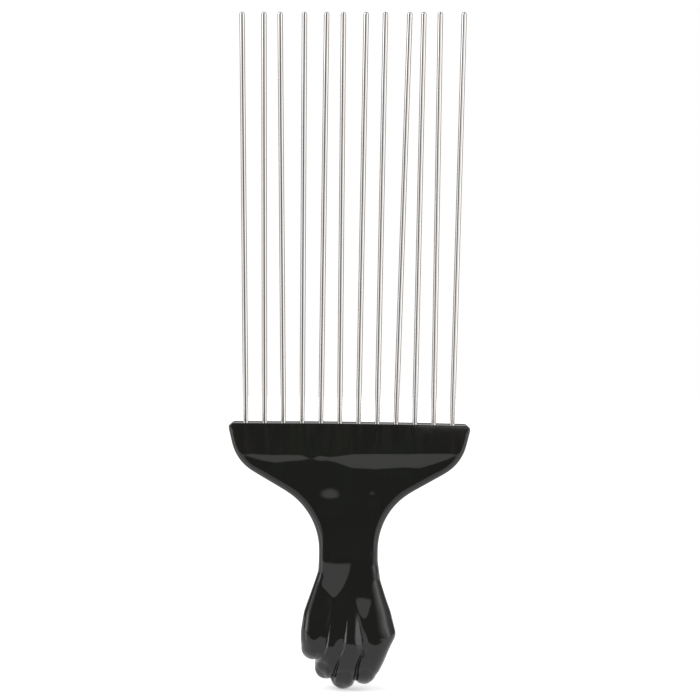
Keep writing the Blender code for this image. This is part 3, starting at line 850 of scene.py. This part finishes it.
class Graph:
    """Adds nodes to a tree and hands their outputs back as wires."""

    def __init__(self, tree):
        self.tree = tree
        self.tree.nodes.clear()

    def add(self, kind, inputs=None, settings=None, output=0):
        """A node of a type: its settings are made first, then the values or wires of its sockets."""
        node = self.tree.nodes.new(kind)
        for name, value in (settings or {}).items():
            if name == "stops":
                self._set_stops(node.color_ramp, value)
            else:
                setattr(node, name, value)
        for name, value in (inputs or {}).items():
            if isinstance(value, Wire):
                self.tree.links.new(value.socket, node.inputs[name])
            else:
                node.inputs[name].default_value = value
        if not node.outputs:
            return node
        return Wire(self, node.outputs[output])

    @staticmethod
    def _set_stops(ramp, stops):
        while len(ramp.elements) > 1:
            ramp.elements.remove(ramp.elements[-1])
        for index, (place, value) in enumerate(stops):
            element = ramp.elements[0] if index == 0 else ramp.elements.new(place)
            element.position = place
            element.color = (value, value, value, 1.0)

    def ramp(self, value, *stops):
        """A value read off a ramp of (place, value) stops."""
        return self.add("ShaderNodeValToRGB", {"Fac": value}, {"stops": stops})

    def between(self, value, start, end):
        """Smooth step of a value from 0 at start to 1 at end."""
        return self.add("ShaderNodeMapRange", {"Value": value, "From Min": start, "From Max": end},
                        {"interpolation_type": "SMOOTHSTEP"})

    def mix_colour(self, factor, one, other):
        """Mix of two colours. The node names its sockets alike for every type, so they go by number."""
        return self.add("ShaderNodeMix", {0: factor, 6: one, 7: other}, {"data_type": "RGBA"}, 2)

    def noise(self, place, scale, detail=2.0, roughness=0.5):
        return self.add("ShaderNodeTexNoise", {
            "Vector": place, "Scale": scale, "Detail": detail, "Roughness": roughness})

    def split(self, vector, *axes):
        """A vector's parts along the axes named."""
        parts = self.add("ShaderNodeSeparateXYZ", {"Vector": vector}).socket.node.outputs
        return [Wire(self, parts[axis]) for axis in axes]


def opaque(colour):
    return (*colour, 1.0)


def new_material(name):
    material = bpy.data.materials.new(name)
    material.use_nodes = True
    return material, Graph(material.node_tree)


def black_plastic(settings):
    """Glossy black plastic: faint warm streaks of painted reflection on the head, greenish clouds, fine
    scuffs in the polish, and a slight swell of the surface."""
    material, graph = new_material("polished_black_plastic")
    place = graph.add("ShaderNodeTexCoord", output="Object")
    stretched = graph.add("ShaderNodeMapping", {"Vector": place, "Scale": (1.0, 1.0, 0.12)})
    # Painted reflection: warm vertical streaks mixed into the colour high on the head's front
    streaks = graph.noise(stretched, 520.0)
    clouds = graph.noise(place, 70.0)
    scuffs = graph.noise(place, 2400.0, 3.0, 0.65)
    height, = graph.split(place, "Z")
    reflection_band = graph.between(height, *REFLECTION_STREAK_HEIGHTS)
    warm = graph.between(streaks, 0.45, 0.62) * reflection_band * 0.55
    colour = graph.mix_colour(warm, opaque(settings.colour), opaque(REFLECTION_STREAK_COLOUR))
    green = graph.between(clouds, 0.5, 0.66) * 0.5
    colour = graph.mix_colour(green, colour, opaque(CLOUD_COLOUR))
    roughness = settings.roughness + graph.between(scuffs, 0.55, 0.8) * 0.12 + clouds * 0.03
    swell = graph.noise(place, 130.0, 1.0) * 0.7 + graph.noise(place, 430.0, 1.0) * 0.12
    bump = graph.add("ShaderNodeBump", {"Strength": 0.25, "Distance": 0.00022, "Height": swell})
    shader = graph.add("ShaderNodeBsdfPrincipled", {
        "Base Color": colour, "Roughness": roughness, "Normal": bump, "IOR": 1.49})
    graph.add("ShaderNodeOutputMaterial", {"Surface": shader})
    return material


def tine_steel(settings):
    """Plated steel wire, with drawing lines along it and a faint warm tarnish."""
    material, graph = new_material("drawn_steel_wire")
    place = graph.add("ShaderNodeTexCoord", output="Object")
    stretched = graph.add("ShaderNodeMapping", {"Vector": place, "Scale": (1.0, 1.0, 0.02)})
    lines = graph.noise(stretched, 2600.0)
    spots = graph.noise(place, 900.0, 3.0, 0.6)
    tarnish = graph.between(spots, 0.56, 0.75) * 0.5
    colour = graph.mix_colour(tarnish, opaque(settings.colour), opaque(TARNISH_COLOUR))
    roughness = settings.roughness + lines * 0.05 + tarnish * 0.08
    bump = graph.add("ShaderNodeBump", {"Strength": 0.04, "Distance": 0.00002, "Height": lines})
    shader = graph.add("ShaderNodeBsdfPrincipled", {
        "Base Color": colour, "Metallic": 1.0, "Roughness": roughness, "Normal": bump})
    graph.add("ShaderNodeOutputMaterial", {"Surface": shader})
    return material


def new_object(name, data):
    item = bpy.data.objects.new(name, data)
    bpy.context.scene.collection.objects.link(item)
    return item


def add_piece(name, mesh, material, nodes):
    """A finished piece: it rides on the body and stands for the nodes of the frame."""
    piece = new_object(name, mesh)
    mesh.materials.clear()
    mesh.materials.append(material)
    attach(piece, BODY)
    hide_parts(*nodes)


def tine_tree(material):
    """Geometry Nodes that stand a domed, headed wire on each point, leaning along its lean."""
    tree = bpy.data.node_groups.new("tine_row", "GeometryNodeTree")
    kinds = {
        "Geometry": "Geometry", "Pitch": "Float", "Radius": "Float", "Length": "Float",
        "Root": "Float", "Head Radius": "Float", "Head Length": "Float", "Sides": "Int",
    }
    for name, kind in kinds.items():
        tree.interface.new_socket(name, in_out="INPUT", socket_type="NodeSocket" + kind)
    tree.interface.new_socket("Geometry", in_out="OUTPUT", socket_type="NodeSocketGeometry")
    graph = Graph(tree)
    entry = tree.nodes.new("NodeGroupInput")
    given = {name: Wire(graph, entry.outputs[name]) for name in kinds}

    # A path up one wire: two points for its head, one at the foot of its shaft, then the dome
    head_steps = 2
    index = graph.add("GeometryNodeInputIndex")
    line = graph.add("GeometryNodeMeshLine", {"Count": head_steps + 1 + TINE_DOME_STEPS})
    at_foot = index < 0.5
    in_head = index < head_steps - 0.5
    in_dome = 1 - (index < head_steps + 0.5)
    turn = (index - (head_steps + 1)) * (TINE_DOME_ANGLE / (TINE_DOME_STEPS - 1)) * in_dome
    sine = turn.apply("SINE")
    cosine = turn.apply("COSINE")
    shaft_end = given["Length"] - given["Radius"]
    head_level = (1 - at_foot) * given["Head Length"] * TINE_HEAD_SIDE
    level = (in_head * head_level + (1 - in_head) * (1 - in_dome) * given["Head Length"]
             + in_dome * (shaft_end + given["Root"] + given["Radius"] * sine))
    radius = (in_head * given["Head Radius"] * (1 - at_foot * TINE_HEAD_TAPER)
              + (1 - in_head) * given["Radius"] * cosine)
    height = level - given["Root"]
    placed = graph.add("GeometryNodeSetPosition", {
        "Geometry": line, "Position": graph.add("ShaderNodeCombineXYZ", {"Z": height})})
    curve = graph.add("GeometryNodeMeshToCurve", {"Mesh": placed})
    ring = graph.add("GeometryNodeCurvePrimitiveCircle", {
        "Resolution": given["Sides"], "Radius": 1.0})
    wire = graph.add("GeometryNodeCurveToMesh", {
        "Curve": curve, "Profile Curve": ring, "Scale": radius, "Fill Caps": True})

    seat = graph.add("ShaderNodeCombineXYZ", {
        "X": (index - (TINE_COUNT - 1) / 2) * given["Pitch"] + TINE_ROW_OFFSET, "Z": HANDLE_HEIGHT})
    row = graph.add("GeometryNodeSetPosition", {"Geometry": given["Geometry"], "Position": seat})
    lean = graph.add("GeometryNodeInputNamedAttribute", {"Name": "lean"}, {"data_type": "FLOAT_VECTOR"})
    turned = graph.add("FunctionNodeAlignRotationToVector", {"Vector": lean}, {"axis": "Z"})
    reach = graph.add("GeometryNodeInputNamedAttribute", {"Name": "reach"}, {"data_type": "FLOAT"})
    scale = graph.add("ShaderNodeCombineXYZ", {"X": 1.0, "Y": 1.0, "Z": reach})
    tines = graph.add("GeometryNodeInstanceOnPoints", {
        "Points": row, "Instance": wire, "Rotation": turned, "Scale": scale})
    real = graph.add("GeometryNodeRealizeInstances", {"Geometry": tines})
    finished = graph.add("GeometryNodeSetMaterial", {"Geometry": real, "Material": material})
    graph.add("NodeGroupOutput", {"Geometry": finished})
    return tree


def tine_row_mesh(settings, material):
    """The row of tines as one plain mesh."""
    exposed = [TINE_TIP_HEIGHT + TINE_TIP_RISE * (index / (TINE_COUNT - 1) - 0.5) - HANDLE_HEIGHT
               for index in range(TINE_COUNT)]
    longest = max(exposed)
    leans = [Vector((shift, 0.0, height)) for shift, height in zip(TINE_TIP_SHIFTS, exposed)]
    mesh = bpy.data.meshes.new("tine_points")
    mesh.from_pydata([(0.0, 0.0, 0.0)] * TINE_COUNT, [], [])
    # An attribute is filled before the next one is made, which would move its data
    lean_data = mesh.attributes.new("lean", "FLOAT_VECTOR", "POINT")
    for item, lean in zip(lean_data.data, leans):
        item.vector = lean.normalized()
    reach_data = mesh.attributes.new("reach", "FLOAT", "POINT")
    for item, lean in zip(reach_data.data, leans):
        item.value = lean.length / longest
    points = new_object("tine_points", mesh)
    tree = tine_tree(material)
    modifier = points.modifiers.new("tine_row", "NODES")
    modifier.node_group = tree
    values = {
        "Pitch": TINE_PITCH, "Radius": settings.radius, "Length": longest, "Root": TINE_ROOT,
        "Head Radius": TINE_HEAD_RADIUS, "Head Length": TINE_HEAD_LENGTH, "Sides": settings.sides,
    }
    for item in tree.interface.items_tree:
        if item.in_out == "INPUT" and item.name in values:
            modifier[item.identifier] = values[item.name]
    evaluated = points.evaluated_get(bpy.context.evaluated_depsgraph_get())
    result = bpy.data.meshes.new_from_object(evaluated)
    bpy.data.objects.remove(points)
    result.name = "tines"
    result.shade_smooth()
    result.set_sharp_from_angle(angle=SHARP_ANGLE)
    return result


class PICK_OT_handle(bpy.types.Operator):
    """Moulds the two halves of the handle"""
    bl_idname = "hair_pick.handle"
    bl_label = "Mould Handle"

    def execute(self, context):
        settings = context.scene.pick_handle
        form = HandleForm(settings)
        plastic = black_plastic(settings)
        halves = (("front_half", False, "front_shell"), ("rear_half", True, "rear_shell"))
        for name, rear, node in halves:
            mesh = handle_half(name, form, rear)
            add_piece(name, mesh, plastic, [node])
        return {"FINISHED"}


class PICK_OT_tines(bpy.types.Operator):
    """Draws the twelve steel tines"""
    bl_idname = "hair_pick.tines"
    bl_label = "Draw Tines"

    def execute(self, context):
        settings = context.scene.pick_tines
        steel = tine_steel(settings)
        add_piece("tines", tine_row_mesh(settings, steel), steel, TINE_NODES)
        return {"FINISHED"}


def rectangle(left, right, bottom, top):
    return (left, bottom), (right, bottom), (right, top), (left, top)


def add_plane(name, corners, material):
    mesh = bpy.data.meshes.new(name)
    mesh.from_pydata(corners, [], [tuple(range(len(corners)))])
    mesh.materials.append(material)
    plane = new_object(name, mesh)
    return plane


def studio_light(graph, x, y):
    """The studio's light in the direction that x and y give."""
    stops = [((degrees + 180) / 360, light / STUDIO_PEAK) for degrees, light in STUDIO_LIGHT]
    around = x.bearing(0 - y) / (2 * math.pi) + 0.5
    return graph.ramp(around, *stops) * STUDIO_PEAK


def floor_material():
    """White floor that keeps a soft shadow. Gloss and metal see it white close by, brighter beside
    the object, and dim towards the camera."""
    material, graph = new_material("white_floor")
    camera = graph.add("ShaderNodeLightPath", output="Is Camera Ray")
    glossy = graph.add("ShaderNodeLightPath", output="Is Glossy Ray")
    place = graph.add("ShaderNodeTexCoord", output="Object")
    x, y = graph.split(place, "X", "Y")
    matt = graph.add("ShaderNodeBsdfDiffuse", {"Color": opaque([FLOOR_GREY] * 3)})
    lift = graph.add("ShaderNodeEmission", {"Color": WHITE, "Strength": camera * FLOOR_LIFT})
    lifted = graph.add("ShaderNodeAddShader", {0: matt, 1: lift})
    away = (x * x + y * y).apply("SQRT")
    strips = (studio_light(graph, x, y) - 1.0).at_least(0.0) * graph.between(away, *FLOOR_SIDES)
    strength = (FLOOR_DIM + graph.between(y, *FLOOR_FRONT) * (1 - FLOOR_DIM)
                + strips * FLOOR_STRIP_SHARE)
    seen = graph.add("ShaderNodeEmission", {"Color": WHITE, "Strength": strength})
    shader = graph.add("ShaderNodeMixShader", {0: glossy, 1: lifted, 2: seen})
    graph.add("ShaderNodeOutputMaterial", {"Surface": shader})
    return material


def studio_world():
    """White studio. Gloss and metal see it by bearing: dark in front, a bright strip on either
    side, and grey behind the object."""
    world = bpy.data.worlds.new("studio")
    world.use_nodes = True
    graph = Graph(world.node_tree)
    direction = graph.add("ShaderNodeTexCoord", output="Generated")
    seen = studio_light(graph, *graph.split(direction, "X", "Y"))
    glossy = graph.add("ShaderNodeLightPath", output="Is Glossy Ray")
    strength = 1 + (seen - 1) * glossy
    background = graph.add("ShaderNodeBackground", {"Color": WHITE, "Strength": strength})
    graph.add("ShaderNodeOutputWorld", {"Surface": background})
    return world


def card_material(name, light):
    """White card that only gloss and metal see."""
    material, graph = new_material(name)
    shader = graph.add("ShaderNodeEmission", {"Color": WHITE, "Strength": light})
    graph.add("ShaderNodeOutputMaterial", {"Surface": shader})
    return material


def add_camera(settings):
    data = bpy.data.cameras.new("camera")
    data.sensor_width = 36.0
    data.angle = 2 * math.atan(settings.field_width / 2 / settings.distance)
    data.clip_start = 0.05
    data.clip_end = 20.0
    camera = new_object("camera", data)
    middle = Vector(settings.middle)
    camera.location = middle - Vector((0.0, settings.distance, 0.0))
    upright = Matrix.Rotation(math.radians(90.0), 3, "X")
    rolled = Matrix.Rotation(-settings.roll, 3, "Y") @ upright
    camera.rotation_euler = rolled.to_euler()
    bpy.context.scene.camera = camera


def add_soft_lamp(settings):
    data = bpy.data.lights.new("key", "AREA")
    data.shape = "SQUARE"
    data.size = KEY_SIZE
    data.energy = settings.key_power
    lamp = new_object("key", data)
    lamp.location = KEY_PLACE
    lamp.rotation_euler = (Vector(KEY_AIM) - Vector(KEY_PLACE)).to_track_quat("-Z", "Y").to_euler()


class PICK_OT_stage(bpy.types.Operator):
    """Sets up the white studio, its lamp and the camera"""
    bl_idname = "hair_pick.stage"
    bl_label = "Set Stage"

    def execute(self, context):
        settings = context.scene.pick_stage
        scene = context.scene
        scene.view_settings.view_transform = "Standard"
        scene.world = studio_world()
        around = rectangle(-FLOOR_REACH, FLOOR_REACH, -FLOOR_REACH, FLOOR_REACH)
        add_plane("floor", [(x, y, CAD_BOX[0][2]) for x, y in around], floor_material())
        for name, (left, right, light) in CARDS.items():
            around = rectangle(left, right, *CARD_HEIGHTS)
            corners = [(x, CARD_Y, z) for x, z in around]
            card = add_plane(name, corners, card_material(name, light))
            card.visible_camera = False
            card.visible_diffuse = False
            card.visible_shadow = False
            card.visible_transmission = False
        add_soft_lamp(settings)
        add_camera(settings)
        return {"FINISHED"}


class PICK_PT_panel(bpy.types.Panel):
    bl_label = "Hair Pick"
    bl_idname = "PICK_PT_panel"
    bl_space_type = "VIEW_3D"
    bl_region_type = "UI"
    bl_category = "Hair Pick"

    def draw(self, context):
        scene = context.scene
        groups = (
            (scene.pick_handle, "hair_pick.handle"),
            (scene.pick_tines, "hair_pick.tines"),
            (scene.pick_stage, "hair_pick.stage"),
        )
        for settings, operator in groups:
            box = self.layout.box()
            for name in settings.bl_rna.properties.keys():
                if name not in {"rna_type", "name"}:
                    box.prop(settings, name)
            box.operator(operator)


CLASSES = (
    HandleSettings, TineSettings, StageSettings,
    PICK_OT_handle, PICK_OT_tines, PICK_OT_stage, PICK_PT_panel,
)


def register():
    for item in CLASSES:
        bpy.utils.register_class(item)
    bpy.types.Scene.pick_handle = PointerProperty(type=HandleSettings)
    bpy.types.Scene.pick_tines = PointerProperty(type=TineSettings)
    bpy.types.Scene.pick_stage = PointerProperty(type=StageSettings)


def unregister():
    del bpy.types.Scene.pick_stage
    del bpy.types.Scene.pick_tines
    del bpy.types.Scene.pick_handle
    for item in reversed(CLASSES):
        bpy.utils.unregister_class(item)


def main():
    register()
    bpy.ops.hair_pick.handle()
    bpy.ops.hair_pick.tines()
    bpy.ops.hair_pick.stage()


if __name__ == "__main__":
    main()
